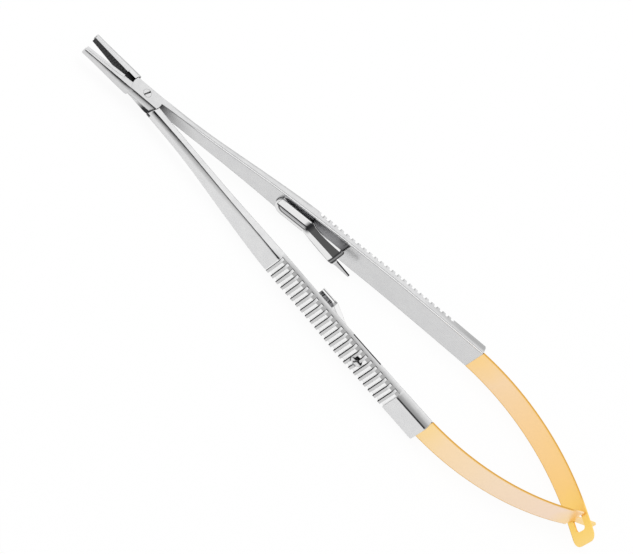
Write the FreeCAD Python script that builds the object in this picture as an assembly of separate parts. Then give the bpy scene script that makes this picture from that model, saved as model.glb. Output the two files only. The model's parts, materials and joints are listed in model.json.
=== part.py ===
import FreeCAD, Part
import math
import os
from FreeCAD import Vector

# Surgical needle holder with a lap joint, ribbed arms, an inner catch and two
# leaf springs.  Millimetres.  The pivot is the working origin: +X runs to the
# springs, +Y from the bottom half to the top half, +Z is the pivot axis.
# Each half is drawn closed, then swung open by HALF_OPEN.

HALF_OPEN = 5.3

# jaws
JAW_LENGTH = 19.3
JAW_TIP_HALF_HEIGHT = 0.95
JAW_TIP_THICK = 1.45
JAW_ROOT_THICK = 2.1
JAW_TIP_BULGE = 0.22
JAW_ROOT_BULGE = 0.6
JAW_TIP_ROUND = 0.8
BITE_GAP = 0.02
INSERT_THICK = 0.85
INSERT_TIP_SETBACK = 0.30
INSERT_ROOT = 7.2
CROTCH_RELIEF = 0.3

# lap joint
JOINT_HALF_HEIGHT = 1.85
LAP_RADIUS = 4.6
LAP_SHOULDER_GAP = 0.15
LAP_FACE_GAP = 0.02
LAP_RELIEF_START = -0.4
LAP_RELIEF_SLOPE = 0.21
JOINT_HALF_WIDTH = 2.05
JOINT_BULGE = 0.6
SCREW_HEAD_D = 2.2
SCREW_SHANK_D = 1.5
SCREW_HEAD_DEEP = 0.75
SCREW_RUNNING_GAP = 0.04
SCREW_SLOT_WIDE = 0.42
SCREW_SLOT_DEEP = 0.35
SCREW_SLOT_ANGLE = 74.0

# arms: station along the arm, inner face, outer edge, crown of the outer
# face over that edge, half height, drop of the outer edge below the top
ARM_STATIONS = [
    (3.0, 0.10, 2.08, 0.60, 1.80, 0.10),
    (10.0, 0.60, 2.24, 0.60, 1.92, 0.10),
    (20.0, 1.14, 2.67, 0.58, 2.20, 0.12),
    (32.0, 1.89, 3.65, 0.50, 2.80, 0.12),
    (42.0, 2.35, 4.40, 0.38, 3.38, 0.16),
    (53.0, 2.70, 5.20, 0.16, 3.85, 0.42),
    (62.0, 2.95, 5.62, 0.04, 4.02, 0.80),
    (75.0, 3.30, 5.98, 0.02, 4.15, 0.85),
    (86.0, 3.42, 6.22, 0.02, 4.20, 0.85),
    (97.0, 3.42, 6.38, 0.02, 4.24, 0.85),
    (109.9, 3.35, 6.40, 0.02, 4.30, 0.85),
]
SHOULDER_RUN = 1.90
SHOULDER_FULL_DROP = 0.85
SHOULDER_ROUND = 0.20
ARM_END = 109.9
ARM_END_CHAMFER = 0.25
ARM_END_INNER = 3.35

# ribs
RIB_COUNT = 24
RIB_FIRST = 53.3
RIB_PITCH = 1.90
RIB_CREST = 0.85
GROOVE_DEEP = 0.60
GROOVE_DROP = 0.20
GROOVE_RUN_OUT = 0.60
GROOVE_TOP_DROP = 0.12

# leaf springs
SPRING_THICK = 0.45
SPRING_HALF_WIDTH = 4.40
JUNCTION_X = 156.0
SPRING_SAGITTA = 4.07
TAB_LENGTH = 6.95
TAB_CORNER = 2.3
SLOT_HALF_WIDTH = 2.0
SLOT_BEFORE = 1.35
SLOT_AFTER = 3.35
SLOT_CORNER = 1.0
TONGUE_TOP = 1.05
TONGUE_BOTTOM = -1.80
TONGUE_LENGTH = 5.15
TONGUE_TIP_ROUND = 0.6
TONGUE_SHOULDER = 1.05
TONGUE_BEND = 8.0

# catch on the top half
POCKET_START = 43.3
POCKET_LENGTH = 22.0
POCKET_SLOPE = 1.75
POCKET_DEEP = 1.10
POCKET_HALF_WIDTH = 3.00
POCKET_END_HALF_WIDTH = 3.50
POCKET_RUN_OUT = 1.0
CARRIER_LENGTH = 10.7
CARRIER_PROUD = 0.80
CARRIER_STEM_BOTTOM = -2.60
CARRIER_HEAD_BOTTOM = -3.40
CARRIER_HEAD_GAP = 0.06
CARRIER_TOP = 2.15
CARRIER_EDGE_ROUND = 0.60
CARRIER_CLEAR = 0.08
CHANNEL_BOTTOM = -0.75
CHANNEL_TOP = 1.70
BLADE_RECESS = 0.10
BLADE_THICK = 0.38
BLADE_SIDE_GAP = 0.06
BLADE_FLEX = 1.2
BLADE_PIVOT = 0.9
BLADE_ROOT_START = 0.7
BLADE_END_GAP = 0.02
BLADE_FAN = [
    (0.00, -3.38, -1.60, 2.10),
    (0.22, -3.52, -1.30, 1.48),
    (0.46, -3.62, -1.10, 1.55),
    (0.75, -3.60, -0.90, 2.05),
    (1.00, -3.55, -0.80, 2.65),
]
BLADE_FAN_THICK = 0.30
BLADE_END = 21.6
BLADE_END_THICK = 0.80
BLADE_RISE = 2.55
BLADE_CROWN = 0.22
BLADE_TURN = 1.10
BLADE_TURN_DROP = 0.40
FINGER_LONG = 5.5
FINGER_THICK = 0.50
FINGER_TOP = -1.40
FINGER_BOTTOM = -2.60
FINGER_TIP_Z = -2.75
FINGER_TIP_WIDE = 0.5
FINGER_TILT = 4.0
GUSSET = 0.9

# catch on the bottom half
HOOK_BASE_START = 80.0
HOOK_BASE_END = 90.0
HOOK_BASE_THICK = 0.75
HOOK_BASE_HALF = 2.3
HOOK_BAR_START = 66.6
HOOK_BAR_END = 71.6
HOOK_BAR_TOP = 4.95
HOOK_BAR_THICK = 1.05
HOOK_BAR_HALF = 1.10
HOOK_LEVER_HALF = 1.20
CATCH_SCREW_S = 85.5
CATCH_SCREW_Z = 0.2
CATCH_SCREW_HEAD_D = 3.3
CATCH_SCREW_SHANK_D = 1.8
CATCH_SCREW_CONE = 0.8
CATCH_SCREW_SINK = 0.35
CATCH_SLOT_WIDE = 0.55
CATCH_SLOT_DEEP = 0.4


def station(s):
    """Arm values at s, straight between the listed stations."""
    if s <= ARM_STATIONS[0][0]:
        return ARM_STATIONS[0][1:]
    for a, b in zip(ARM_STATIONS, ARM_STATIONS[1:]):
        if s <= b[0]:
            k = (s - a[0]) / (b[0] - a[0])
            return tuple(p + (q - p) * k for p, q in zip(a[1:], b[1:]))
    return ARM_STATIONS[-1][1:]


def box(x0, x1, y0, y1, z0, z1):
    return Part.makeBox(x1 - x0, y1 - y0, z1 - z0, Vector(x0, y0, z0))


def cylinder(radius, z0, z1, x=0.0, y=0.0):
    return Part.makeCylinder(radius, z1 - z0, Vector(x, y, z0))


def polygon_face(points):
    vectors = [Vector(*p) for p in points]
    return Part.Face(Part.makePolygon(vectors + vectors[:1]))


def d_section(s, inner, edge, crown, half, drop):
    """Arm or jaw section across X: flat inner side, crowned outer side."""
    side = 1.0 if edge > inner else -1.0
    full = drop / SHOULDER_FULL_DROP
    flat = edge - side * SHOULDER_RUN * full
    zf = half - drop
    mid_y = 0.5 * (flat + edge) + side * 0.5 * SHOULDER_ROUND * full
    mid_z = 0.5 * (half + zf) + SHOULDER_ROUND * full
    p = [Vector(s, inner, -half), Vector(s, inner, half), Vector(s, flat, half),
         Vector(s, edge, zf), Vector(s, edge, -zf), Vector(s, flat, -half)]
    crest = Vector(s, edge + side * crown, 0)
    edges = [Part.makeLine(p[0], p[1]), Part.makeLine(p[1], p[2]),
             Part.Arc(p[2], Vector(s, mid_y, mid_z), p[3]).toShape(),
             Part.Arc(p[3], crest, p[4]).toShape(),
             Part.Arc(p[4], Vector(s, mid_y, -mid_z), p[5]).toShape(),
             Part.makeLine(p[5], p[0])]
    return Part.Wire(edges)


def try_fillet(shape, edges, radii):
    """Round the edges with the first radius that the shape accepts."""
    for radius in radii:
        try:
            rounded = shape.makeFillet(radius, edges)
            if rounded.isValid() and rounded.Volume > 0:
                return rounded
        except Exception:
            continue
    return shape


def arm_blank():
    wires = [d_section(*row) for row in ARM_STATIONS]
    blank = Part.makeLoft(wires[:-2], True, False).fuse(Part.makeLoft(wires[-3:], True, True))
    blank = blank.removeSplitter()
    end = [e for e in blank.Edges
           if abs(e.BoundBox.XMin - ARM_END) < 0.01 and abs(e.BoundBox.XMax - ARM_END) < 0.01]
    keep = [e for e in end if e.BoundBox.YMin > ARM_END_INNER + 0.01]
    try:
        cut = blank.makeChamfer(ARM_END_CHAMFER, keep)
        if cut.isValid():
            blank = cut
    except Exception:
        pass
    return blank


def rib_grooves():
    """Cutters that leave the ribs standing on the outer side of the arm."""
    cutters = []
    for k in range(RIB_COUNT):
        s0 = RIB_FIRST + RIB_CREST + k * RIB_PITCH
        s1 = s0 + RIB_PITCH - RIB_CREST
        inner, edge, crown, half, drop = station(0.5 * (s0 + s1))
        floor = edge - GROOVE_DEEP
        z_floor = half - drop - GROOVE_DROP
        top = floor - GROOVE_RUN_OUT
        over = half + 1.0
        slope = (top - floor) / (half - GROOVE_TOP_DROP - z_floor)
        far = floor + slope * (over - z_floor)
        face = polygon_face([
            (s0, floor, -z_floor), (s0, floor, z_floor), (s0, far, over),
            (s0, edge + 2.0, over), (s0, edge + 2.0, -over), (s0, far, -over)])
        cutters.append(face.extrude(Vector(s1 - s0, 0, 0)))
    return cutters


def jaw_blank():
    """The jaw lies beyond the pivot, on the far side of the bite plane."""
    rows = []
    for s, k in [(-JAW_LENGTH, 0.0), (-15.0, 0.22), (-9.0, 0.68), (-4.0, 0.97), (-2.0, 1.0)]:
        thick = JAW_TIP_THICK + (JAW_ROOT_THICK - JAW_TIP_THICK) * k
        crown = JAW_TIP_BULGE + (JAW_ROOT_BULGE - JAW_TIP_BULGE) * k
        half = JAW_TIP_HALF_HEIGHT + (JOINT_HALF_HEIGHT - JAW_TIP_HALF_HEIGHT) * k
        rows.append(d_section(s, -BITE_GAP, -thick, crown, half, 0.10))
    blank = Part.makeLoft(rows, True, False)
    tip = [e for e in blank.Edges
           if abs(e.BoundBox.XMin + JAW_LENGTH) < 0.01 and abs(e.BoundBox.XMax + JAW_LENGTH) < 0.01]
    outer = [e for e in tip if e.BoundBox.YMax < -0.5]
    return try_fillet(blank, outer, [JAW_TIP_ROUND, 0.4, 0.25])


def joint_block():
    """Full height block of the joint, crowned on both sides."""
    h = JOINT_HALF_HEIGHT
    w = JOINT_HALF_WIDTH
    zf = h - 0.10
    flat = w - 0.11
    x0 = -LAP_RADIUS - 1.0
    p = [Vector(x0, -flat, -h), Vector(x0, -w, -zf), Vector(x0, -w, zf), Vector(x0, -flat, h),
         Vector(x0, flat, h), Vector(x0, w, zf), Vector(x0, w, -zf), Vector(x0, flat, -h)]
    left = Part.Arc(p[1], Vector(x0, -w - JOINT_BULGE, 0), p[2]).toShape()
    right = Part.Arc(p[5], Vector(x0, w + JOINT_BULGE, 0), p[6]).toShape()
    wire = Part.Wire([Part.makeLine(p[0], p[1]), left, Part.makeLine(p[2], p[3]),
                      Part.makeLine(p[3], p[4]), Part.makeLine(p[4], p[5]), right,
                      Part.makeLine(p[6], p[7]), Part.makeLine(p[7], p[0])])
    prism = Part.Face(wire).extrude(Vector(2 * LAP_RADIUS + 2.0, 0, 0))
    return prism.common(cylinder(LAP_RADIUS, -h, h))


def plain_half():
    """One half without screw hole or catch details; its lap is the upper one."""
    h = JOINT_HALF_HEIGHT
    arm = arm_blank().cut(Part.makeCompound(rib_grooves()))
    jaw = jaw_blank()
    seat = box(-JAW_LENGTH - 1.0, -INSERT_ROOT, -INSERT_THICK, 1.0, -3.0, 3.0)
    relief = box(-INSERT_ROOT - 0.1, -2.0, -CROTCH_RELIEF, 1.0, -3.0, 3.0)
    jaw = jaw.cut(seat).cut(relief)
    block = joint_block().common(box(-6, 6, -4, 4, LAP_FACE_GAP / 2, h))
    lower_seat = cylinder(LAP_RADIUS + LAP_SHOULDER_GAP, -h - 1.0, LAP_FACE_GAP / 2)
    body = arm.fuse(jaw.cut(cylinder(LAP_RADIUS - 0.6, -3, 3))).cut(lower_seat)
    body = body.fuse(block)
    return body.removeSplitter()


def jaw_insert():
    """Gripping plate brazed into the jaw's seat."""
    x0 = -JAW_LENGTH + INSERT_TIP_SETBACK
    plate = jaw_blank().common(box(x0, -INSERT_ROOT - 0.05, -INSERT_THICK, 1.0, -3.0, 3.0))
    return plate


def to_pocket(shape):
    """From the catch's own frame (u along, -v towards the arm) to the half."""
    inner = station(POCKET_START)[0]
    moved = shape.copy()
    moved.rotate(Vector(0, 0, 0), Vector(0, 0, 1), POCKET_SLOPE)
    moved.translate(Vector(POCKET_START, inner, 0))
    return moved


def pocket_cutter():
    w = POCKET_HALF_WIDTH
    e = POCKET_END_HALF_WIDTH
    face = polygon_face([(w, -3.0, -w), (POCKET_LENGTH, -3.0, -e), (POCKET_LENGTH, -3.0, e), (w, -3.0, w)])
    straight = face.extrude(Vector(0, POCKET_DEEP + 3.0, 0))
    deep = [q for q in straight.Edges
            if q.BoundBox.YMin > POCKET_DEEP - 0.01 and q.BoundBox.XMin > POCKET_LENGTH - 0.01]
    straight = try_fillet(straight, deep, [POCKET_RUN_OUT, 0.7])
    start = Part.makeCylinder(w, POCKET_DEEP + 3.0, Vector(w, -3.0, 0), Vector(0, 1, 0))
    return to_pocket(straight.fuse(start))


def carrier():
    """Block seated in the pocket that holds the root of the catch blade."""
    stem = box(CARRIER_CLEAR, CARRIER_LENGTH, -CARRIER_HEAD_GAP, POCKET_DEEP,
               CARRIER_STEM_BOTTOM, CARRIER_TOP)
    w = POCKET_HALF_WIDTH - CARRIER_CLEAR
    round_stem = Part.makeCylinder(w, 4.0, Vector(w + CARRIER_CLEAR, -2.0, 0), Vector(0, 1, 0))
    stem = stem.common(round_stem.fuse(box(w, CARRIER_LENGTH + 1, -2.0, 2.0, -w, w)))
    head = box(CARRIER_CLEAR, CARRIER_LENGTH, -CARRIER_PROUD, -CARRIER_HEAD_GAP,
               CARRIER_HEAD_BOTTOM, CARRIER_TOP)
    r = -CARRIER_HEAD_BOTTOM
    round_head = Part.makeCylinder(r, 4.0, Vector(r + CARRIER_CLEAR, -2.0, 0), Vector(0, 1, 0))
    head = head.common(round_head.fuse(box(r, CARRIER_LENGTH + 1, -2.0, 2.0, -r, r)))
    face = [e for e in head.Edges
            if abs(e.BoundBox.YMin + CARRIER_PROUD) < 0.01 and abs(e.BoundBox.YMax + CARRIER_PROUD) < 0.01]
    low = [e for e in face if e.BoundBox.ZMax < CARRIER_TOP - 0.05 and e.BoundBox.XMin < CARRIER_LENGTH - 0.05]
    head = try_fillet(head, low, [CARRIER_EDGE_ROUND, 0.4, 0.2])
    block = head.fuse(stem).removeSplitter()
    tilt = math.tan(math.radians(BLADE_FLEX + 0.3))
    v0 = -CARRIER_PROUD + BLADE_RECESS + BLADE_THICK
    x0 = BLADE_ROOT_START - 0.1
    x1 = CARRIER_LENGTH + 1.0
    profile = polygon_face([
        (x0, -CARRIER_PROUD - 1.0, CHANNEL_BOTTOM), (x1, -CARRIER_PROUD - 1.0, CHANNEL_BOTTOM),
        (x1, v0 + tilt * (x1 - BLADE_PIVOT), CHANNEL_BOTTOM), (BLADE_PIVOT, v0, CHANNEL_BOTTOM),
        (x0, v0, CHANNEL_BOTTOM)])
    channel = profile.extrude(Vector(0, 0, CHANNEL_TOP - CHANNEL_BOTTOM))
    return to_pocket(block.cut(channel))


def ridge_section(u, low, ridge, high, v, drop, thick):
    """Roof-shaped section of the blade; v is how far its ridge stands off."""
    p = [Vector(u, -v + drop, low), Vector(u, -v, ridge), Vector(u, -v + drop, high),
         Vector(u, -v + drop + thick, high), Vector(u, -v + drop + thick, low)]
    return Part.makePolygon(p + p[:1])


def catch_blade():
    """Springy blade: root in the channel, ridged fan, turned end and finger."""
    v_top = -CARRIER_PROUD + BLADE_RECESS
    v_low = v_top + BLADE_THICK
    x0 = CARRIER_LENGTH + BLADE_END_GAP
    root = box(BLADE_ROOT_START, x0 + 0.2, v_top, v_low,
               CHANNEL_BOTTOM + BLADE_SIDE_GAP, CHANNEL_TOP - BLADE_SIDE_GAP)
    sections = []
    for k, low, ridge, high in BLADE_FAN:
        u = x0 + k * (BLADE_END - BLADE_TURN - x0)
        v = -v_top + k * BLADE_RISE
        drop = BLADE_CROWN * (0.4 + 0.6 * k)
        thick = BLADE_FAN_THICK + k * (BLADE_END_THICK - BLADE_FAN_THICK)
        sections.append(ridge_section(u, low, ridge, high, v, drop, thick))
    fan = Part.makeLoft(sections, True, False)
    last = BLADE_FAN[-1]
    end_v = -v_top + BLADE_RISE
    turned_v = end_v + BLADE_TURN * BLADE_RISE / (BLADE_END - x0) - BLADE_TURN_DROP
    turned = ridge_section(BLADE_END, last[1], last[2], last[3], turned_v, 0.1, BLADE_END_THICK)
    turn = Part.makeLoft([sections[-1], turned], True, True)
    y0 = -turned_v + 0.1
    root_x = BLADE_END - 0.3
    bend_x = BLADE_END + GUSSET
    tip_x = BLADE_END + FINGER_LONG
    finger = polygon_face([
        (root_x, y0, FINGER_TOP + 0.2), (bend_x, y0, FINGER_TOP - 0.1),
        (tip_x, y0, FINGER_TIP_Z + FINGER_TIP_WIDE / 2), (tip_x, y0, FINGER_TIP_Z - FINGER_TIP_WIDE / 2),
        (bend_x, y0, FINGER_BOTTOM - 0.3), (root_x, y0, FINGER_BOTTOM - GUSSET)])
    finger = finger.extrude(Vector(0, FINGER_THICK, 0))
    finger.rotate(Vector(root_x, y0, 0), Vector(0, 0, 1), -FINGER_TILT)
    return to_pocket(root.fuse([fan, turn, finger]).removeSplitter())


def top_half():
    """Half with the upper lap, the screw's counterbore and the catch pocket."""
    h = JOINT_HALF_HEIGHT
    head = cylinder(SCREW_HEAD_D / 2 + SCREW_RUNNING_GAP, h - SCREW_HEAD_DEEP - SCREW_RUNNING_GAP, h + 1)
    shank = cylinder(SCREW_SHANK_D / 2 + SCREW_RUNNING_GAP, -1.0, h)
    return plain_half().cut(pocket_cutter()).cut(head).cut(shank)


def flipped(shape):
    """Turned half a turn about X: the other half's place."""
    other = shape.copy()
    other.rotate(Vector(0, 0, 0), Vector(1, 0, 0), 180)
    return other


def lap_relief():
    """Wedge taken off the lower lap's side, under the upper lap."""
    side = -JOINT_HALF_WIDTH - JOINT_BULGE
    x0 = LAP_RELIEF_START
    x1 = LAP_RADIUS + 0.4
    deep = side + LAP_RELIEF_SLOPE * (x1 - x0)
    wedge = polygon_face([(x0, side, -5.0), (x1, deep, -5.0), (x1, side - 2.0, -5.0), (x0, side - 2.0, -5.0)])
    wedge = wedge.extrude(Vector(0, 0, 5.0 + LAP_FACE_GAP))
    return wedge.common(cylinder(LAP_RADIUS - 0.05, -5.0, 1.0))


def bottom_half():
    """The same half turned over, with the screw holes."""
    half = flipped(plain_half()).cut(lap_relief())
    half = half.cut(cylinder(SCREW_SHANK_D / 2, -JOINT_HALF_HEIGHT - 1, 1.0))
    return half.cut(catch_screw_body())


def pivot_screw():
    h = JOINT_HALF_HEIGHT
    head = cylinder(SCREW_HEAD_D / 2, h - SCREW_HEAD_DEEP, h)
    screw = head.fuse(cylinder(SCREW_SHANK_D / 2, -h, h - SCREW_HEAD_DEEP)).removeSplitter()
    slot = box(-2, 2, -SCREW_SLOT_WIDE / 2, SCREW_SLOT_WIDE / 2, h - SCREW_SLOT_DEEP, h + 1)
    slot.rotate(Vector(0, 0, 0), Vector(0, 0, 1), SCREW_SLOT_ANGLE)
    return screw.cut(slot)


def catch_hook():
    """Base on the bottom arm's inner face, rising lever and hook bar."""
    inner = station(0.5 * (HOOK_BASE_START + HOOK_BASE_END))[0]
    y0 = -inner
    for s in (HOOK_BASE_START, HOOK_BASE_END):
        y0 = max(y0, -station(s)[0])
    t = HOOK_BASE_THICK
    hb = HOOK_BASE_HALF
    base = polygon_face([(HOOK_BASE_START, y0, -hb), (HOOK_BASE_END, y0, -hb),
                         (HOOK_BASE_END, y0 + 0.35, -hb), (HOOK_BASE_START + 3.0, y0 + t, -hb),
                         (HOOK_BASE_START, y0 + t + 0.2, -hb)])
    base = base.extrude(Vector(0, 0, 2 * hb))
    top = y0 + HOOK_BAR_TOP
    low = top - HOOK_BAR_THICK
    lever = polygon_face([
        (HOOK_BASE_START + 3.0, y0, 0), (HOOK_BASE_START + 3.0, y0 + t, 0),
        (HOOK_BASE_START, y0 + t + 0.2, 0),
        (HOOK_BAR_END, top, 0), (HOOK_BAR_START, top, 0), (HOOK_BAR_START, low, 0),
        (HOOK_BAR_END - 1.2, low, 0), (HOOK_BASE_START - 2.2, y0 + 0.5, 0),
        (HOOK_BASE_START, y0, 0)])
    lever = lever.extrude(Vector(0, 0, 2 * HOOK_LEVER_HALF))
    lever.translate(Vector(0, 0, -HOOK_LEVER_HALF))
    trim = box(HOOK_BAR_START - 1, HOOK_BAR_END, low - 1, top + 1, HOOK_BAR_HALF, 4)
    trim_low = box(HOOK_BAR_START - 1, HOOK_BAR_END, low - 1, top + 1, -4, -HOOK_BAR_HALF)
    hook = base.fuse(lever.cut(trim).cut(trim_low)).removeSplitter()
    bore = Part.makeCylinder(CATCH_SCREW_SHANK_D / 2, 6.0,
                             Vector(CATCH_SCREW_S, y0 - 3.0, CATCH_SCREW_Z), Vector(0, 1, 0))
    return hook.cut(bore)


def catch_screw_body():
    """Countersunk screw blank, head towards the ribs of the bottom arm."""
    outer = -station(CATCH_SCREW_S)[1]
    head_y = outer + CATCH_SCREW_SINK
    inner = -station(CATCH_SCREW_S)[0]
    z = CATCH_SCREW_Z
    s = CATCH_SCREW_S
    big = CATCH_SCREW_HEAD_D / 2
    small = CATCH_SCREW_SHANK_D / 2
    lead = Part.makeCylinder(big, CATCH_SCREW_SINK + 1.5, Vector(s, outer - 1.5, z), Vector(0, 1, 0))
    cone = Part.makeCone(big, small, CATCH_SCREW_CONE, Vector(s, head_y, z), Vector(0, 1, 0))
    shank = Part.makeCylinder(small, inner + 3.0 - head_y, Vector(s, head_y, z), Vector(0, 1, 0))
    return lead.fuse([cone, shank])


def catch_screw():
    outer = -station(CATCH_SCREW_S)[1]
    head_y = outer + CATCH_SCREW_SINK
    far_y = -station(CATCH_SCREW_S)[0] + HOOK_BASE_THICK - 0.25
    z = CATCH_SCREW_Z
    s = CATCH_SCREW_S
    big = CATCH_SCREW_HEAD_D / 2
    small = CATCH_SCREW_SHANK_D / 2
    cone = Part.makeCone(big, small, CATCH_SCREW_CONE, Vector(s, head_y, z), Vector(0, 1, 0))
    shank = Part.makeCylinder(small, far_y - head_y, Vector(s, head_y, z), Vector(0, 1, 0))
    w = CATCH_SLOT_WIDE / 2
    slot = box(s - w, s + w, head_y - 1.0, head_y + CATCH_SLOT_DEEP, z - 3.0, z + 3.0)
    slot.rotate(Vector(s, 0, z), Vector(0, 1, 0), 20)
    return cone.fuse(shank).removeSplitter().cut(slot)


def swung(shape, degrees):
    turned = shape.copy()
    turned.rotate(Vector(0, 0, 0), Vector(0, 0, 1), degrees)
    return turned


def leaf_frame():
    """Root centre, arc centre, radius and end angle of the top leaf, open."""
    a = math.radians(HALF_OPEN)
    s = ARM_END
    t = ARM_END_INNER + SPRING_THICK / 2
    root = Vector(s * math.cos(a) - t * math.sin(a), s * math.sin(a) + t * math.cos(a), 0)
    end = Vector(JUNCTION_X, 0, 0)
    chord = end - root
    length = chord.Length
    radius = (length * length / 4 + SPRING_SAGITTA ** 2) / (2 * SPRING_SAGITTA)
    along = chord.normalize()
    normal = Vector(along.y, -along.x, 0)
    centre = (root + end) * 0.5 + normal * (radius - SPRING_SAGITTA)
    out = end - centre
    tangent = Vector(out.y, -out.x, 0).normalize()
    return root, end, centre, radius, tangent


def leaf_blank(tail, half_width, bend):
    """Curved leaf with a straight tail past the junction, cut on the arm's end."""
    root, end, centre, radius, tangent = leaf_frame()
    t = SPRING_THICK / 2
    start = math.atan2(root.y - centre.y, root.x - centre.x) + math.radians(1.0)
    stop = math.atan2(end.y - centre.y, end.x - centre.x)
    middle = 0.5 * (start + stop)

    def on(angle, r):
        return Vector(centre.x + r * math.cos(angle), centre.y + r * math.sin(angle), -half_width)

    over = [on(q, radius + t) for q in (start, middle, stop)]
    under = [on(q, radius - t) for q in (start, middle, stop)]
    turn = math.radians(bend)
    reach = Vector(tangent.x * math.cos(turn) - tangent.y * math.sin(turn),
                   tangent.x * math.sin(turn) + tangent.y * math.cos(turn), 0) * tail
    far_over = over[2] + reach
    far_under = under[2] + reach
    wire = Part.Wire([
        Part.Arc(over[0], over[1], over[2]).toShape(), Part.makeLine(over[2], far_over),
        Part.makeLine(far_over, far_under), Part.makeLine(far_under, under[2]),
        Part.Arc(under[2], under[1], under[0]).toShape(), Part.makeLine(under[0], over[0])])
    leaf = Part.Face(wire).extrude(Vector(0, 0, 2 * half_width))
    behind = box(ARM_END - 20.0, ARM_END, -10.0, 20.0, -10.0, 10.0)
    return leaf.cut(swung(behind, HALF_OPEN))


def at_junction(shape):
    """From the tail's own frame (x along the tail, y across) to the junction."""
    root, end, centre, radius, tangent = leaf_frame()
    angle = math.degrees(math.atan2(tangent.y, tangent.x))
    placed = shape.copy()
    placed.rotate(Vector(0, 0, 0), Vector(0, 0, 1), angle)
    placed.translate(end)
    return placed


def slotted_leaf():
    """Leaf of the top half: wide rounded tab with a slot for the tongue."""
    w = SPRING_HALF_WIDTH
    leaf = leaf_blank(TAB_LENGTH, w, 0.0)
    r = TAB_CORNER
    x0 = TAB_LENGTH - r
    corners = []
    for side in (1, -1):
        z0 = side * (w - r)
        block = box(x0, TAB_LENGTH + 1, -1.5, 1.5, min(z0, side * (w + 1)), max(z0, side * (w + 1)))
        disc = Part.makeCylinder(r, 4.0, Vector(x0, -2.0, z0), Vector(0, 1, 0))
        corners.append(at_junction(block.cut(disc)))
    q = SLOT_HALF_WIDTH
    slot = box(-SLOT_BEFORE, SLOT_AFTER, -2.0, 2.0, -q, q)
    ends = [e for e in slot.Edges if e.BoundBox.YLength > 3.9 and e.BoundBox.XMin > SLOT_AFTER - 0.1]
    slot = try_fillet(slot, ends, [SLOT_CORNER])
    return leaf.cut(corners + [at_junction(slot)])


def tongued_leaf():
    """Leaf of the bottom half: shoulders at the junction, then a tongue."""
    w = SPRING_HALF_WIDTH
    leaf = leaf_blank(TONGUE_LENGTH, w, TONGUE_BEND)
    sides = []
    for z0, z1 in ((-TONGUE_BOTTOM, w + 1), (-w - 1, -TONGUE_TOP)):
        sides.append(at_junction(box(-TONGUE_SHOULDER, TONGUE_LENGTH + 1, -3.0, 3.0, z0, z1)))
    r = TONGUE_TIP_ROUND
    x0 = TONGUE_LENGTH * math.cos(math.radians(TONGUE_BEND)) - r
    for edge, side in ((-TONGUE_BOTTOM, 1), (-TONGUE_TOP, -1)):
        z0 = edge - side * r
        z1 = edge + side
        block = box(x0, TONGUE_LENGTH + 1, -1.5, 1.5, min(z0, z1), max(z0, z1))
        disc = Part.makeCylinder(r, 4.0, Vector(x0, -2.0, z0), Vector(0, 1, 0))
        sides.append(at_junction(block.cut(disc)))
    return flipped(leaf.cut(sides))


def build():
    top = HALF_OPEN
    low = -HALF_OPEN
    insert = jaw_insert()
    parts = {
        "top_half": swung(top_half(), top),
        "top_jaw_insert": swung(insert, top),
        "catch_carrier": swung(carrier(), top),
        "catch_blade": swung(catch_blade(), top),
        "slotted_leaf_spring": slotted_leaf(),
        "bottom_half": swung(bottom_half(), low),
        "bottom_jaw_insert": swung(flipped(insert), low),
        "pivot_screw": swung(pivot_screw(), low),
        "catch_hook": swung(catch_hook(), low),
        "catch_screw": swung(catch_screw(), low),
        "tongued_leaf_spring": tongued_leaf(),
    }
    return parts


def main():
    parts = build()
    everything = Part.makeCompound(list(parts.values()))
    extent = everything.optimalBoundingBox(True, False)
    shift = Vector(-0.5 * (extent.XMin + extent.XMax), -0.5 * (extent.YMin + extent.YMax), -extent.ZMin)
    os.makedirs("parts", exist_ok=True)
    for name, shape in parts.items():
        solid = shape.Solids[0] if len(shape.Solids) == 1 else shape
        solid = solid.copy()
        solid.translate(shift)
        solid.exportStep(os.path.join("parts", name + ".step"))
        print(name, len(shape.Solids), shape.isValid(), round(shape.Volume, 2), len(shape.Faces))
    root = leaf_frame()[0]
    print("shift", shift)
    print("size", extent.XLength, extent.YLength, extent.ZLength)
    print("leaf root", root)


main()
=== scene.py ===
import json
import math
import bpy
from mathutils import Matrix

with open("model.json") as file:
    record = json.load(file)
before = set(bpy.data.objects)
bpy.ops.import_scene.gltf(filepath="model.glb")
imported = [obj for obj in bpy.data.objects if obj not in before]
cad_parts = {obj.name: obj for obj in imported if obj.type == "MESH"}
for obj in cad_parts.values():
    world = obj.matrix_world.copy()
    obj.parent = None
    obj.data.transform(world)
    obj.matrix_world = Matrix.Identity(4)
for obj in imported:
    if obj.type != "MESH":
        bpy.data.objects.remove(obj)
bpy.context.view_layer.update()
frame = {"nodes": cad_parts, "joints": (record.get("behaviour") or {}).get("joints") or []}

from types import SimpleNamespace

import bpy
from mathutils import Matrix, Vector

MM = 0.001

# The working origin is the pivot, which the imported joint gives. Each frame is
# a place and a turn about Z. A half's own frame has X along its arm to the
# rear and Z up the pivot; the pocket's is nested in the top half's. Places
# within them are in millimetres.
JOINTS = {joint["name"]: joint for joint in frame["joints"]}
PIVOT = Vector(JOINTS["handle_pivot"]["pos_m"])
HALF_OPEN = math.radians(5.3)
WHOLE = (PIVOT, 0.0)
TOP_HALF = (PIVOT, HALF_OPEN)
BOTTOM_HALF = (PIVOT, -HALF_OPEN)
POCKET = ((43.3, 2.39, 0.0), math.radians(1.75))

# Ribs of both arms, in millimetres along the arm.
RIBS_FROM = 53.1
RIBS_TO = 98.7
RIB_PITCH = 1.9
RIB_CREST = 0.85
# one pitch before the first crest, so that no phase is negative
RIB_ORIGIN = 51.4
# How far out the outer side stands at the first rib, and over which stretch
# it then rises by how much.
SIDE_AT_RIBS = 5.2
SIDE_RISES = ((53, 75, 0.78), (75, 97, 0.40))
# how far in from the outer side the groove ends reach
GROOVE_END = 1.2
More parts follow.
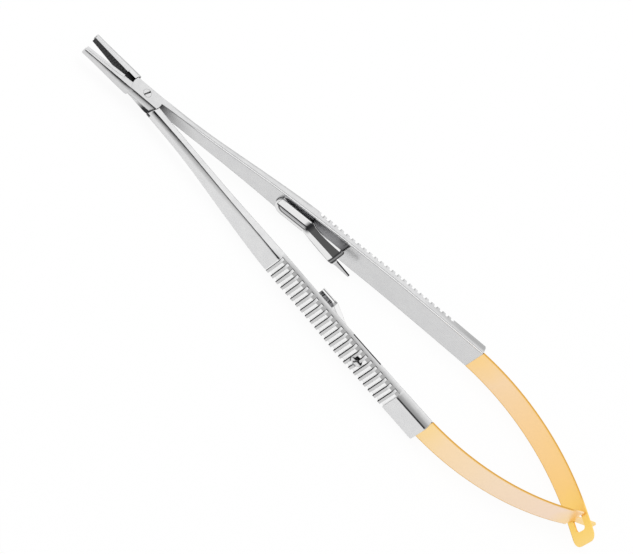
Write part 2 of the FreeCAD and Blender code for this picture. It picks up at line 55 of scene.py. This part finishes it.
# soft border of the masks that follow the ribs
RIB_SOFT = 0.02

CARRIER_RADIUS = 3.4
# The fine relief of all finishes is this deep.
RELIEF_DEPTH = 0.02 * MM
# samples of each rounded edge and of each look at the open sky
EDGE_SAMPLES = 10
SKY_SAMPLES = 12
# The wave texture repeats every 0.314 units at scale 1.
WAVE_PERIOD = 0.314
DIAGONAL = math.sqrt(0.5)


def srgb(text):
    """Linear colour of an sRGB hex value."""
    parts = [int(text[k:k + 2], 16) / 255 for k in (1, 3, 5)]
    linear = [c / 12.92 if c <= 0.04045 else ((c + 0.055) / 1.055) ** 2.4 for c in parts]
    return (*linear, 1.0)


def add_node(tree, kind, inputs=None, stops=(), **properties):
    """Adds a node with its properties, ramp stops and inputs, each input a
    socket to link, a value or a hex colour. Returns its outputs."""
    node = tree.nodes.new(kind)
    for name, value in properties.items():
        setattr(node, name, value)
    for name, value in (inputs or {}).items():
        if isinstance(value, bpy.types.NodeSocket):
            tree.links.new(value, node.inputs[name])
        else:
            node.inputs[name].default_value = srgb(value) if isinstance(value, str) else value
    if stops:
        elements = node.color_ramp.elements
        while len(elements) < len(stops):
            elements.new(0.5)
        for element, (position, colour) in zip(elements, stops):
            element.position = position
            element.color = srgb(colour)
    return node.outputs


def new_material(name):
    material = bpy.data.materials.new(name)
    material.use_nodes = True
    tree = material.node_tree
    tree.nodes.clear()
    return material, tree


def close_metal(tree, relief, surface):
    """Ends a material as bare metal with a fine relief."""
    normal = add_node(tree, "ShaderNodeBump", relief)["Normal"]
    shader = add_node(tree, "ShaderNodeBsdfPrincipled",
                      {"Metallic": 1.0, "Normal": normal, **surface})["BSDF"]
    add_node(tree, "ShaderNodeOutputMaterial", {"Surface": shader})


def local_frame(tree, *frames):
    """Object coordinates, and the place in millimetres and the facing in the
    innermost of nested frames, both split into X, Y and Z."""
    texture = add_node(tree, "ShaderNodeTexCoord")
    place, facing = texture["Object"], texture["Normal"]
    unit = MM
    for origin, turn in frames:
        place = add_node(tree, "ShaderNodeMapping",
                         {"Vector": place, "Location": origin, "Rotation": (0.0, 0.0, turn),
                          "Scale": (unit, unit, unit)}, vector_type="TEXTURE")["Vector"]
        facing = add_node(tree, "ShaderNodeMapping",
                          {"Vector": facing, "Rotation": (0.0, 0.0, turn)},
                          vector_type="TEXTURE")["Vector"]
        unit = 1.0
    return (texture["Object"],
            add_node(tree, "ShaderNodeSeparateXYZ", {"Vector": place}),
            add_node(tree, "ShaderNodeSeparateXYZ", {"Vector": facing}))


def edge_facing(tree, radius, turn):
    """Normal of the faces with their edges broken by a radius, and how far it
    points to the near and to the far top edge of a half turned by an angle."""
    normal = add_node(tree, "ShaderNodeBevel", {"Radius": radius}, samples=EDGE_SAMPLES)["Normal"]
    towards = []
    for y in (-DIAGONAL, DIAGONAL):
        direction = Matrix.Rotation(turn, 3, "Z") @ Vector((0.0, y, DIAGONAL))
        towards.append(add_node(tree, "ShaderNodeVectorMath", {0: normal, 1: direction},
                                operation="DOT_PRODUCT")["Value"])
    return normal, *towards


def within(value, low, high, soft):
    """Two factors of a share: 1 between low and high, 0 a soft width out."""
    return (value, low - soft, low), (value, high + soft, high)


def share(tree, *factors):
    """Product of factors, each a number, a socket or (socket, low, high),
    which is 0 at low, 1 at high and even between."""
    product = None
    for factor in factors:
        if isinstance(factor, tuple):
            value, low, high = factor
            factor = add_node(tree, "ShaderNodeMapRange",
                              {"Value": value, "From Min": low, "From Max": high})["Result"]
        if product is None:
            product = factor
        else:
            product = add_node(tree, "ShaderNodeMath", {0: product, 1: factor},
                               operation="MULTIPLY")["Value"]
    return product


def paint(tree, colour, tone, *factors):
    """Colour with a tone laid over it by the share of the factors."""
    return add_node(tree, "ShaderNodeMix",
                    {0: share(tree, *factors), 6: colour, 7: tone}, data_type="RGBA")[2]


def half_fields(tree, side):
    """Places, facings, rib pattern and edges of a half that its finish uses."""
    coordinates, own, facing = local_frame(tree, TOP_HALF if side > 0 else BOTTOM_HALF)
    field = SimpleNamespace(side=side, coordinates=coordinates, own=own, facing=facing)
    field.across = share(tree, own["Y"], side)
    field.outward = share(tree, facing["Y"], side)
    field.upward = share(tree, (facing["Z"], 0.3, 0.9))
    field.sky = add_node(tree, "ShaderNodeAmbientOcclusion", {"Distance": 0.7 * MM},
                         samples=SKY_SAMPLES)["AO"]

    field.ribs = share(tree, *within(own["X"], RIBS_FROM, RIBS_TO, 0.1))
    along = add_node(tree, "ShaderNodeMath", {0: own["X"], 1: RIB_ORIGIN},
                     operation="SUBTRACT")["Value"]
    field.phase = add_node(tree, "ShaderNodeMath", {0: along, 1: RIB_PITCH},
                           operation="MODULO")["Value"]
    field.groove = share(tree, field.ribs,
                         *within(field.phase, RIB_CREST + RIB_SOFT, RIB_PITCH, RIB_SOFT))
    outer = SIDE_AT_RIBS
    for start, end, rise in SIDE_RISES:
        outer = add_node(tree, "ShaderNodeMath",
                         {0: share(tree, (own["X"], start, end), rise), 1: outer},
                         operation="ADD")["Value"]
    field.inset = add_node(tree, "ShaderNodeMath", {0: outer, 1: field.across},
                           operation="SUBTRACT")["Value"]

    # edges broken by 0.35 mm, and the softer slope of 0.9 mm beside them
    turn = side * HALF_OPEN
    field.normal, field.near, field.far = edge_facing(tree, 0.35 * MM, turn)
    _, field.near_slope, field.far_slope = edge_facing(tree, 0.9 * MM, turn)
    return field


def satin_ground(tree, field):
    """Plain tone of the beaded steel, with painted light on its top faces and
    painted shade in its hollows."""
    # uneven beading in clouds of about 2.5 mm
    cloud = add_node(tree, "ShaderNodeTexNoise",
                     {"Vector": field.coordinates, "Scale": 1 / (2.5 * MM), "Detail": 4.0,
                      "Roughness": 0.65})["Fac"]
    # painted light: the lighter tone of each pair goes on faces turned up, the darker on the rest;
    # the top half's pairs are darker
    pairs = ((("#D2D2D3", "#D8D8D8"), ("#D8D8D9", "#E4E4E4")) if field.side > 0 else
             (("#DBDBDC", "#E2E2E2"), ("#DFDFE0", "#ECECEC")))
    painted_shaded_sides, painted_lit_tops = (add_node(tree, "ShaderNodeValToRGB", {"Fac": cloud},
                            [(0.3, low), (0.7, high)])["Color"] for low, high in pairs)
    colour = paint(tree, painted_shaded_sides, painted_lit_tops, field.upward)
    # painted shade in hollows and crevices, by how open they are to the sky
    painted_corner_shade = add_node(tree, "ShaderNodeValToRGB", {"Fac": field.sky},
                       [(0.10, "#3A3A3C"), (0.35, "#B8B8B8"), (0.55, "#FFFFFF")])["Color"]
    return add_node(tree, "ShaderNodeMix", {0: 1.0, 6: colour, 7: painted_corner_shade},
                    data_type="RGBA", blend_type="MULTIPLY")[2]


def rib_tones(tree, field, colour):
    """Ribs: white groove floors and grey crests, painted grey shade on the
    run-outs, and a painted dark shade line along each crest and on the groove wall beside it."""
    squarely = (field.outward, 0.9, 0.98)
    colour = paint(tree, colour, "#F6F6F6", field.groove, squarely, (field.sky, 0.4, 0.6))
    colour = paint(tree, colour, "#CECECE", field.ribs,
                   (field.phase, RIB_CREST + RIB_SOFT, RIB_CREST), squarely)
    # painted grey shade on the sloping run-outs at the groove ends
    colour = paint(tree, colour, "#BCBCBC", field.groove,
                   *within(field.outward, 0.4, 0.93, 0.03), (field.facing["Z"], 0.2, 0.3))

    shown = add_node(tree, "ShaderNodeMath",
                     {0: share(tree, (field.outward, 0.3, 0.6)), 1: share(tree, field.upward, 0.6)},
                     operation="MAXIMUM")["Value"]
    # painted dark shade line along each crest and on the groove walls that face the jaws; it also
    # darkens the specular tint
    line = share(tree, field.ribs, (field.phase, 0.19, 0.15),
                 (field.inset, GROOVE_END + 0.05, GROOVE_END - 0.05), shown)
    wall = share(tree, field.ribs, (field.facing["X"], -0.5, -0.8))
    painted_rib_shade = add_node(tree, "ShaderNodeMath", {0: line, 1: wall}, operation="MAXIMUM")["Value"]
    # the top half's ribs are seen from behind, where they hardly show
    painted_rib_shade = share(tree, painted_rib_shade, 0.2 if field.side > 0 else 1.0)
    shaded_specular_tint = paint(tree, "#FFFFFF", "#0E0E10", painted_rib_shade)
    return paint(tree, colour, "#0E0E10", painted_rib_shade), shaded_specular_tint


def joint_tones(tree, field, colour):
    """Painted shade between the arms behind the joint and in the crotch of the
    jaws, and painted grey shade lines along the far top edges."""
    side, x = field.side, field.own["X"]
    wide_sky = add_node(tree, "ShaderNodeAmbientOcclusion", {"Distance": 6 * MM},
                        samples=SKY_SAMPLES)["AO"]
    colour = paint(tree, colour, "#3C3C3E", (wide_sky, 0.75, 0.25), (x, 20, 4))
    colour = paint(tree, colour, "#1E1E20", *within(x, -7.2, -4.4, 0.3), (field.outward, 0.5, 0.7))
    # painted grey shade line along the far top edge, left out on the ribs
    colour = paint(tree, colour, "#6E6E6E", (field.far, 0.93, 0.98), (field.ribs, 1.0, 0.0), 0.55)
    # painted grey shade on the slope beside the far edge, on the bottom half's jaw and the top
    # half's arm, which are rounder there
    reach, strength = (within(x, 8, 50, 2), 0.35) if side > 0 else (((x, -3, -4),), 0.6)
    return paint(tree, colour, "#808080", *reach, *within(field.far_slope, 0.80, 0.92, 0.04),
                 strength)


def top_half_tones(tree, field, colour):
    """Painted dark shade line along the edge of jaw and joint with painted grey shade below it,
    painted highlight line along the arm's edge between two painted grey shade lines, painted shade
    on the top near the arm's end and on the edge behind the joint, and painted shade on the floor
    of the catch's milled pocket."""
    x, near, slope = field.own["X"], field.near, field.near_slope
    steep = (field.facing["Z"], 0.6, 0.4)
    front = share(tree, (x, 5.4, 5.0))
    # painted grey shade on the steep slope below the edge of jaw and joint
    colour = paint(tree, colour, "#A8A8A8", front, (slope, 0.86, 1.0), steep)
    # painted dark shade line along the edge, a little broader over the joint than over the jaw
    broader = share(tree, (x, -7, -4), 0.02)
    line = add_node(tree, "ShaderNodeMath", {0: near, 1: broader}, operation="SUBTRACT")["Value"]
    colour = paint(tree, colour, "#101012", front, (line, 0.925, 0.97))

    # painted grey shade beside the arm's edge, and a painted highlight line on it
    arm = share(tree, (x, 12, 18))
    colour = paint(tree, colour, "#6A6A6C", arm, (slope, 0.80, 0.88), 0.75)
    colour = paint(tree, colour, "#FFFFFF", arm, (near, 0.75, 0.80))
    # painted shade on the top near the arm's end
    colour = paint(tree, colour, "#AAAAAA", (x, 88, 104), (field.across, 3.8, 4.6),
                   field.upward, 0.85)
    # painted shade line along the edge just behind the joint
    colour = paint(tree, colour, "#303032", *within(x, 6.2, 14, 2), (near, 0.90, 0.97))

    # painted shade on the floor of the milled pocket, darkest at its rear end
    _, spot, _ = local_frame(tree, TOP_HALF, POCKET)
    shade = add_node(tree, "ShaderNodeValToRGB", {"Fac": share(tree, (spot["X"], 8, 22))},
                     [(0.0, "#909092"), (0.60, "#9A9A9C"), (0.85, "#8C8C8E"),
                      (1.0, "#646466")])["Color"]
    return paint(tree, colour, shade, *within(spot["Y"], 0.42, 1.5, 0.3),
                 *within(spot["X"], 0.0, 22.2, 0.3), (field.upward, 1.0, 0.0))


def bottom_half_tones(tree, field, colour):
    """Painted shade on a wedge of the lower lap, painted dark shade line along the arm's edge with
    painted grey shade beside it, painted dark shade outlining the groove ends, and the dark joint
    line of the hook's base."""
    x, z, ribs, inset, near = (field.own["X"], field.own["Z"], field.ribs, field.inset,
                               field.near)
    # painted shade on the lower lap's wedge under the upper lap
    colour = paint(tree, colour, "#2A2A2C", (x, -0.6, 2.0), (x, 4.9, 4.7),
                   (field.facing["Y"], -0.6, -0.8), (z, 0.05, 0.0))
    # painted grey shade below the line as far as the ribs, above it from there on
    colour = paint(tree, colour, "#8E8E8E", *within(x, 4.0, 52.5, 0.5),
                   (field.near_slope, 0.82, 1.0), (field.facing["Z"], 0.6, 0.4))
    ends = share(tree, ribs, GROOVE_END)
    back = add_node(tree, "ShaderNodeMath", {0: inset, 1: ends}, operation="SUBTRACT")["Value"]
    strength = add_node(tree, "ShaderNodeMapRange",
                        {"Value": ribs, "To Min": 0.9, "To Max": 0.56})["Result"]
    colour = paint(tree, colour, "#4E4E4E", (x, 50, 58), (back, 1.5, 0.0), (back, -0.08, 0.0),
                   field.upward, strength)
    # painted grey shade on the top at the arm's end
    colour = paint(tree, colour, "#8A8A8A", (x, 98.6, 99.4), (back, 2.8, 0.4),
                   field.upward, 0.75)
    # painted dark shade line at the upper ends of the grooves
    colour = paint(tree, colour, "#38383A", ribs,
                   *within(inset, GROOVE_END - 0.06, GROOVE_END + 0.06, 0.08), field.upward,
                   (field.phase, RIB_CREST + 0.1, RIB_CREST))

    # painted dark shade line along the edge, fainter where the grooves cut it, and thinner behind
    # them
    faint = add_node(tree, "ShaderNodeMapRange",
                     {"Value": ribs, "To Min": 1.0, "To Max": 0.15})["Result"]
    line = share(tree, *within(x, 3.6, 98.0, 0.6), (near, 0.93, 0.975), faint)
    last = share(tree, (x, 98.0, 98.8), (near, 0.984, 0.998))
    line = add_node(tree, "ShaderNodeMath", {0: line, 1: last}, operation="MAXIMUM")["Value"]
    colour = paint(tree, colour, "#161618", line)
    return paint(tree, colour, "#1C1C1E", *within(x, 79.9, 90.1, 0.1),
                 (field.across, 3.84, 3.72), field.upward)


def satin_stainless(side):
    """Martensitic stainless, glass-beaded then lightly brushed along the arm:
    a soft grey sheen with hair-fine lines that run with the length, bright in the milled grooves,
    with painted dark shade lines and a painted highlight line along the broken edges."""
    half = "top_half" if side > 0 else "bottom_half"
    material, tree = new_material("satin_stainless_" + half)
    field = half_fields(tree, side)
    colour = satin_ground(tree, field)
    colour, shaded_specular_tint = rib_tones(tree, field, colour)
    colour = joint_tones(tree, field, colour)
    colour = (top_half_tones if side > 0 else bottom_half_tones)(tree, field, colour)

    # Brush lines of 0.05 mm are too fine to show: drawn 0.12 mm apart, 6 mm long.
    grain = add_node(tree, "ShaderNodeMapping",
                     {"Vector": field.coordinates,
                      "Scale": (1 / (6 * MM), 1 / (0.12 * MM), 1 / (0.12 * MM))})["Vector"]
    brush = add_node(tree, "ShaderNodeTexNoise",
                     {"Vector": grain, "Scale": 1.0, "Detail": 3.0, "Roughness": 0.6})["Fac"]
    # Beaded dimples of 0.05 mm are too fine to show: drawn 0.35 mm across.
    bead = add_node(tree, "ShaderNodeTexNoise",
                    {"Vector": field.coordinates, "Scale": 1 / (0.35 * MM), "Detail": 2.0})["Fac"]
    rough = add_node(tree, "ShaderNodeMapRange",
                     {"Value": brush, "To Min": 0.22, "To Max": 0.34})["Result"]
    height = add_node(tree, "ShaderNodeMath", {0: bead, 1: 0.5, 2: brush},
                      operation="MULTIPLY_ADD")["Value"]
    close_metal(tree, {"Height": height, "Strength": 0.07, "Distance": RELIEF_DEPTH,
                       "Normal": field.normal},
                {"Base Color": colour, "Roughness": rough, "Specular Tint": shaded_specular_tint})
    return material


def close_polished(tree, coordinates, colour):
    """Ends a material as mirror-polished stainless, uneven over about 3 mm."""
    wave = add_node(tree, "ShaderNodeTexNoise",
                    {"Vector": coordinates, "Scale": 1 / (3 * MM), "Detail": 2.0})["Fac"]
    rough = add_node(tree, "ShaderNodeMapRange",
                     {"Value": wave, "To Min": 0.07, "To Max": 0.13})["Result"]
    normal = add_node(tree, "ShaderNodeBevel", {"Radius": 0.15 * MM},
                      samples=EDGE_SAMPLES)["Normal"]
    close_metal(tree, {"Height": wave, "Strength": 0.05, "Distance": RELIEF_DEPTH,
                       "Normal": normal},
                {"Base Color": colour, "Roughness": rough})


def polished_carrier():
    """Polished stainless of the carrier with painted reflections: a bright front and fine
    dark lines along its rounded border, and painted shade on top where it meets the pocket's shade."""
    material, tree = new_material("polished_stainless_carrier")
    coordinates, spot, faced = local_frame(tree, TOP_HALF, POCKET)
    x, z = spot["X"], spot["Z"]
    # distance from the middle line, whose front end is the round end's centre
    ahead = add_node(tree, "ShaderNodeMath", {0: x, 1: CARRIER_RADIUS},
                     operation="SUBTRACT")["Value"]
    ahead = add_node(tree, "ShaderNodeMath", {0: ahead, 1: 0.0}, operation="MINIMUM")["Value"]
    reach = add_node(tree, "ShaderNodeVectorMath",
                     {0: add_node(tree, "ShaderNodeCombineXYZ", {"X": ahead, "Y": z})["Vector"]},
                     operation="LENGTH")["Value"]
    # painted reflection bands across the rounded border
    painted_rim_reflection = add_node(tree, "ShaderNodeValToRGB",
                   {"Fac": share(tree, (reach, CARRIER_RADIUS, 0.0))},
                   [(0.00, "#8A8A8C"), (0.06, "#E8E8E8"), (0.26, "#E0E0E0"), (0.32, "#505052"),
                    (0.38, "#5A5A5C"), (0.46, "#C8C8C8"), (0.62, "#A0A0A2"), (0.76, "#D8D8D8"),
                    (1.0, "#E2E2E2")])["Color"]
    lower = share(tree, (z, 0.2, -0.4), (x, 0.0, 0.4))
    front = share(tree, (x, 2.2, 1.4))
    shown = add_node(tree, "ShaderNodeMath", {0: lower, 1: front}, operation="MAXIMUM")["Value"]
    colour = paint(tree, "#F4F4F4", painted_rim_reflection, shown)
    # painted shade line at the lip of the channel
    colour = paint(tree, colour, "#38383A", *within(z, -1.0, -0.72, 0.1), (x, 0.6, 1.0))
    # painted shade on the faces turned up, graded across them
    painted_top_shade = add_node(tree, "ShaderNodeValToRGB", {"Fac": share(tree, (spot["Y"], -0.8, 1.1))},
                    [(0.0, "#4A4A4C"), (0.18, "#C8C8CA"), (0.4, "#FFFFFF")])["Color"]
    colour = paint(tree, colour, painted_top_shade, (faced["Z"], 0.5, 0.8))
    # painted shade on the rear end, under the blade
    colour = paint(tree, colour, "#303032", (x, 10.1, 10.6), (z, -2.4, -1.2))
    close_polished(tree, coordinates, colour)
    return material


def polished_blade():
    """Polished spring stainless of the blade: painted dark reflection above its ridge,
    painted bright reflection below, with a painted highlight on its ground edge."""
    material, tree = new_material("polished_stainless_blade")
    coordinates, spot, faced = local_frame(tree, TOP_HALF, POCKET)
    x, z, up = spot["X"], spot["Z"], faced["Z"]
    fan = share(tree, (x, 10.6, 11.0))
    finger = share(tree, (x, 21.9, 22.3))
    # painted dark reflection on the faces turned up beyond the carrier, painted bright reflection
    # below
    colour = paint(tree, "#EAEAEA", "#545454", (up, 0.0, 0.03), fan)
    for tone, factors in (
            # painted shade on the underside and on the neck at the carrier, then a painted
            # highlight on the ground top edge
            ("#5A5A5C", ((z, -3.34, -3.44), 0.75)),
            ("#242426", (*within(x, 10.5, 11.2, 1.1), (z, -3.2, -1.8))),
            ("#F2F2F2", ((up, 0.6, 0.8), fan)),
            # painted shade on the crossbar and a painted highlight for the gleam of its bend
            ("#343436", within(x, 20.5, 21.7, 0.25)),
            ("#B0B0B0", (*within(x, 20.9, 21.2, 0.15), 0.5)),
            # painted shade on the finger, darker on its top
            ("#8E8E90", (finger, 0.5)),
            ("#2A2A2C", (finger, (up, 0.3, 0.6)))):
        colour = paint(tree, colour, tone, *factors)
    close_polished(tree, coordinates, colour)
    return material


def polished_hook():
    """Polished stainless of the hook: its bar is ground across, with a painted dark reflection on
    the near face, bright on top, and painted shade lines at the top's far edge and the bar's rear
    end."""
    material, tree = new_material("polished_stainless_hook")
    coordinates, own, facing = local_frame(tree, BOTTOM_HALF)
    # Grinding marks of 0.05 mm are too fine to show: drawn 0.3 mm apart.
    grain = add_node(tree, "ShaderNodeMapping",
                     {"Vector": coordinates,
                      "Scale": (1 / (0.3 * MM), 1 / (3 * MM), 1 / (3 * MM))})["Vector"]
    marks = add_node(tree, "ShaderNodeTexNoise",
                     {"Vector": grain, "Scale": 1.0, "Detail": 2.0})["Fac"]
    streaked_painted_reflection = add_node(tree, "ShaderNodeValToRGB", {"Fac": marks},
                       [(0.38, "#121214"), (0.62, "#8C8C8E")])["Color"]
    bar = share(tree, *within(own["X"], 66.5, 71.5, 0.1))
    # painted dark reflection on the near face of the bar, streaked by the grinding marks
    colour = paint(tree, "#F4F4F4", streaked_painted_reflection, bar, (facing["Y"], -0.5, -0.7))
    # painted shade line along the far edge of the bar's top
    colour = paint(tree, colour, "#3A3A3C", bar, (facing["Z"], 0.5, 0.7),
                   *within(own["Y"], 1.10, 1.26, 0.08))
    # painted shade at the bar's rear end
    colour = paint(tree, colour, "#6A6A6C", *within(own["X"], 71.0, 71.6, 0.2), 0.6)
    close_polished(tree, coordinates, colour)
    return material


def screw_stainless():
    """Turned stainless of the screws, a little darker in its fine rings, with painted shade in slot
    and crevices.
    """
    material, tree = new_material("turned_stainless_steel")
    coordinates, spot, _ = local_frame(tree, WHOLE)
    # Turning marks of 0.05 mm are too fine to show: drawn 0.25 mm apart.
    grain = add_node(tree, "ShaderNodeTexNoise",
                     {"Vector": coordinates, "Scale": 1 / (0.25 * MM), "Detail": 3.0})["Fac"]
    tone = add_node(tree, "ShaderNodeValToRGB", {"Fac": grain},
                    [(0.3, "#D4D4D5"), (0.7, "#EAEAEA")])["Color"]
    sky = add_node(tree, "ShaderNodeAmbientOcclusion", {"Distance": 0.5 * MM},
                   samples=SKY_SAMPLES)["AO"]
    # painted shade in the slot and crevices
    painted_crevice_shade = add_node(tree, "ShaderNodeValToRGB", {"Fac": sky},
                    [(0.45, "#141416"), (0.95, "#FFFFFF")])["Color"]
    colour = add_node(tree, "ShaderNodeMix", {0: 1.0, 6: tone, 7: painted_crevice_shade},
                      data_type="RGBA", blend_type="MULTIPLY")[2]
    # painted shade on the upper half of the catch screw's sunk head
    colour = paint(tree, colour, "#141416", (spot["X"], 60, 61), (spot["Z"], 0.2, 0.6))
    normal = add_node(tree, "ShaderNodeBevel", {"Radius": 0.1 * MM},
                      samples=EDGE_SAMPLES)["Normal"]
    close_metal(tree, {"Height": grain, "Strength": 0.1, "Distance": RELIEF_DEPTH,
                       "Normal": normal},
                {"Base Color": colour, "Roughness": 0.25})
    return material


def tungsten_carbide():
    """Sintered tungsten carbide of the inserts: charcoal, cross-cut in a
    0.45 mm diamond grid, with painted light on its crests and painted shade in its cuts."""
    material, tree = new_material("cross_cut_tungsten_carbide")
    texture = add_node(tree, "ShaderNodeTexCoord")
    cuts = []
    for turn in (40.0, -40.0):
        turned = add_node(tree, "ShaderNodeMapping",
                          {"Vector": texture["Object"],
                           "Rotation": (0.0, math.radians(turn), 0.0)})["Vector"]
        cuts.append(add_node(tree, "ShaderNodeTexWave",
                             {"Vector": turned, "Scale": WAVE_PERIOD / (0.45 * MM)},
                             bands_direction="X", wave_profile="TRI")["Fac"])
    crest = share(tree, *cuts)
    # painted light on the crests and painted shade in the cuts
    cut = add_node(tree, "ShaderNodeValToRGB", {"Fac": crest},
                   [(0.1, "#232324"), (0.8, "#6A6A6B")])["Color"]
    ground = add_node(tree, "ShaderNodeValToRGB", {"Fac": crest},
                      [(0.1, "#DEDEDF"), (0.6, "#E6E6E6")])["Color"]
    # only the gripping face is cut and dark, its borders are ground bright
    facing = add_node(tree, "ShaderNodeSeparateXYZ", {"Vector": texture["Normal"]})
    flat = add_node(tree, "ShaderNodeMath", {0: facing["Y"]}, operation="ABSOLUTE")["Value"]
    grip = share(tree, (flat, 0.8, 0.95))
    colour = paint(tree, ground, cut, grip)
    close_metal(tree, {"Height": share(tree, crest, grip), "Strength": 0.8, "Distance": 0.12 * MM},
                {"Base Color": colour, "Roughness": 0.42})
    return material


def gold_plating(side):
    """Thin gold plating over satin spring steel, with painted reflections: warm and pale near the
    root, a soft broad gleam along the leaf, a deeper tone along the edges, and painted shade on the
    top edge."""
    name = "satin_gold_plating_slotted" if side > 0 else "satin_gold_plating_tongued"
    material, tree = new_material(name)
    coordinates, spot, facing = local_frame(tree, WHOLE)
    # Brush lines of 0.05 mm are too fine to show: drawn 0.10 mm apart, 5 mm long.
    grain = add_node(tree, "ShaderNodeMapping",
                     {"Vector": coordinates,
                      "Scale": (1 / (5 * MM), 1 / (5 * MM), 1 / (0.10 * MM))})["Vector"]
    brush = add_node(tree, "ShaderNodeTexNoise",
                     {"Vector": grain, "Scale": 1.0, "Detail": 3.0})["Fac"]
    # painted reflection tone along the leaf, from root to crossing, uneven over about 9 mm
    cloud = add_node(tree, "ShaderNodeTexNoise",
                     {"Vector": coordinates, "Scale": 1 / (9 * MM), "Detail": 2.0})["Fac"]
    uneven = add_node(tree, "ShaderNodeMath", {0: cloud, 1: 0.12, 2: -0.06},
                      operation="MULTIPLY_ADD")["Value"]
    length = add_node(tree, "ShaderNodeMath", {0: share(tree, (spot["X"], 109, 162)), 1: uneven},
                      operation="ADD")["Value"]
    if side > 0:
        stops = [(0.00, "#FFD998"), (0.16, "#FCDCB2"), (0.45, "#FED79E"), (0.75, "#FFD386"),
                 (0.90, "#FFD670"), (1.00, "#FFDC88")]
    else:
        stops = [(0.00, "#FFDE9E"), (0.15, "#FDE0B6"), (0.45, "#F9E0C2"), (0.78, "#F8DEC6"),
                 (0.88, "#FFDEA4"), (1.00, "#FFDC88")]
    tone = add_node(tree, "ShaderNodeValToRGB", {"Fac": length}, stops)["Color"]
    # painted reflection deeper along both edges as far as the crossing, and painted shade on the
    # top edge
    height = add_node(tree, "ShaderNodeMath", {0: spot["Z"]}, operation="ABSOLUTE")["Value"]
    leaf = share(tree, (spot["X"], 154, 152))
    tone = paint(tree, tone, "#FBCB6C", (height, 3.95, 4.25), leaf, 0.7)
    tone = paint(tree, tone, "#E0AC50", (facing["Z"], 0.6, 0.8), leaf)
    # joints with the arm, and tongue in slot
    sky = add_node(tree, "ShaderNodeAmbientOcclusion", {"Distance": 0.4 * MM},
                   samples=SKY_SAMPLES)["AO"]
    tone = paint(tree, tone, "#8A5A30", (sky, 0.75, 0.45))
    rough = add_node(tree, "ShaderNodeMapRange",
                     {"Value": brush, "To Min": 0.26, "To Max": 0.38})["Result"]
    close_metal(tree, {"Height": brush, "Strength": 0.08, "Distance": RELIEF_DEPTH},
                {"Base Color": tone, "Roughness": rough})
    return material


def finish_nodes():
    """Gives each node of the CAD its material."""
    turned = screw_stainless()
    carbide = tungsten_carbide()
    finishes = {
        "top_half": satin_stainless(1),
        "bottom_half": satin_stainless(-1),
        "catch_carrier": polished_carrier(),
        "catch_blade": polished_blade(),
        "catch_hook": polished_hook(),
        "pivot_screw": turned,
        "catch_screw": turned,
        "top_jaw_insert": carbide,
        "bottom_jaw_insert": carbide,
        "slotted_leaf_spring": gold_plating(1),
        "tongued_leaf_spring": gold_plating(-1),
    }
    for name, material in finishes.items():
        node = frame["nodes"][name]
        node.data.materials.clear()
        node.data.materials.append(material)


def seen_directly(tree):
    """1 for rays that look straight, by a gloss or through a clear body."""
    path = add_node(tree, "ShaderNodeLightPath")
    seen = path["Is Camera Ray"]
    for other in ("Is Glossy Ray", "Is Transmission Ray"):
        seen = add_node(tree, "ShaderNodeMath", {0: seen, 1: path[other]},
                        operation="MAXIMUM")["Value"]
    return seen


def floor():
    """White table: even white to the eye, with a faint trace of the shadow."""
    side = 4.0
    even_white = 0.93
    bpy.ops.mesh.primitive_plane_add(size=side, location=(0, 0, 0))
    board = bpy.context.object
    board.name = "floor"
    material, tree = new_material("matt_white_board")
    matt = add_node(tree, "ShaderNodeBsdfPrincipled",
                    {"Base Color": "#FFFFFF", "Roughness": 0.95, "Specular IOR Level": 0.0})
    white = add_node(tree, "ShaderNodeEmission", {"Color": "#FFFFFF", "Strength": 1.0})
    mix = add_node(tree, "ShaderNodeMixShader",
                   {0: share(tree, seen_directly(tree), even_white),
                    1: matt["BSDF"], 2: white["Emission"]})
    add_node(tree, "ShaderNodeOutputMaterial", {"Surface": mix["Shader"]})
    board.data.materials.append(material)


def surroundings():
    """White room: full white where it is seen, softer as light."""
    light = 0.68
    world = bpy.data.worlds.new("white_studio")
    bpy.context.scene.world = world
    world.use_nodes = True
    tree = world.node_tree
    tree.nodes.clear()
    soft, bright = (add_node(tree, "ShaderNodeBackground", {"Color": "#FFFFFF", "Strength": value})
                    for value in (light, 1.0))
    mix = add_node(tree, "ShaderNodeMixShader",
                   {0: seen_directly(tree), 1: soft["Background"], 2: bright["Background"]})
    add_node(tree, "ShaderNodeOutputWorld", {"Surface": mix["Shader"]})


def softbox():
    """Large round softbox over the jaws, not mirrored in the steel."""
    lamp = bpy.data.lights.new("softbox", "AREA")
    lamp.shape = "DISK"
    lamp.size = 0.9
    lamp.energy = 5.2
    box = bpy.data.objects.new("softbox", lamp)
    bpy.context.scene.collection.objects.link(box)
    box.location = (-0.35, 0.25, 1.1)
    box.visible_glossy = False
    aim = Vector((0, 0, 0)) - box.location
    box.rotation_euler = aim.to_track_quat("-Z", "Y").to_euler()


def camera():
    """Camera at the photograph's angle, at a chosen distance of 1 m."""
    distance = 1.0
    right = Vector((0.7096, 0.4955, 0.5002))
    up = Vector((-0.6917, 0.6256, 0.3612))
    back = Vector((-0.1336, -0.6024, 0.7866))
    aim = PIVOT + Vector((62.06, -7.74, 6.49)) * MM
    data = bpy.data.cameras.new("camera")
    data.lens = 225.8
    data.sensor_width = 36.0
    data.clip_start = 0.05
    data.clip_end = 20.0
    view = bpy.data.objects.new("camera", data)
    bpy.context.scene.collection.objects.link(view)
    turn = Matrix((right, up, back)).transposed().to_4x4()
    view.matrix_world = Matrix.Translation(aim + back * distance) @ turn
    bpy.context.scene.camera = view


finish_nodes()
floor()
surroundings()
softbox()
camera()
bpy.context.scene.view_settings.view_transform = "Standard"
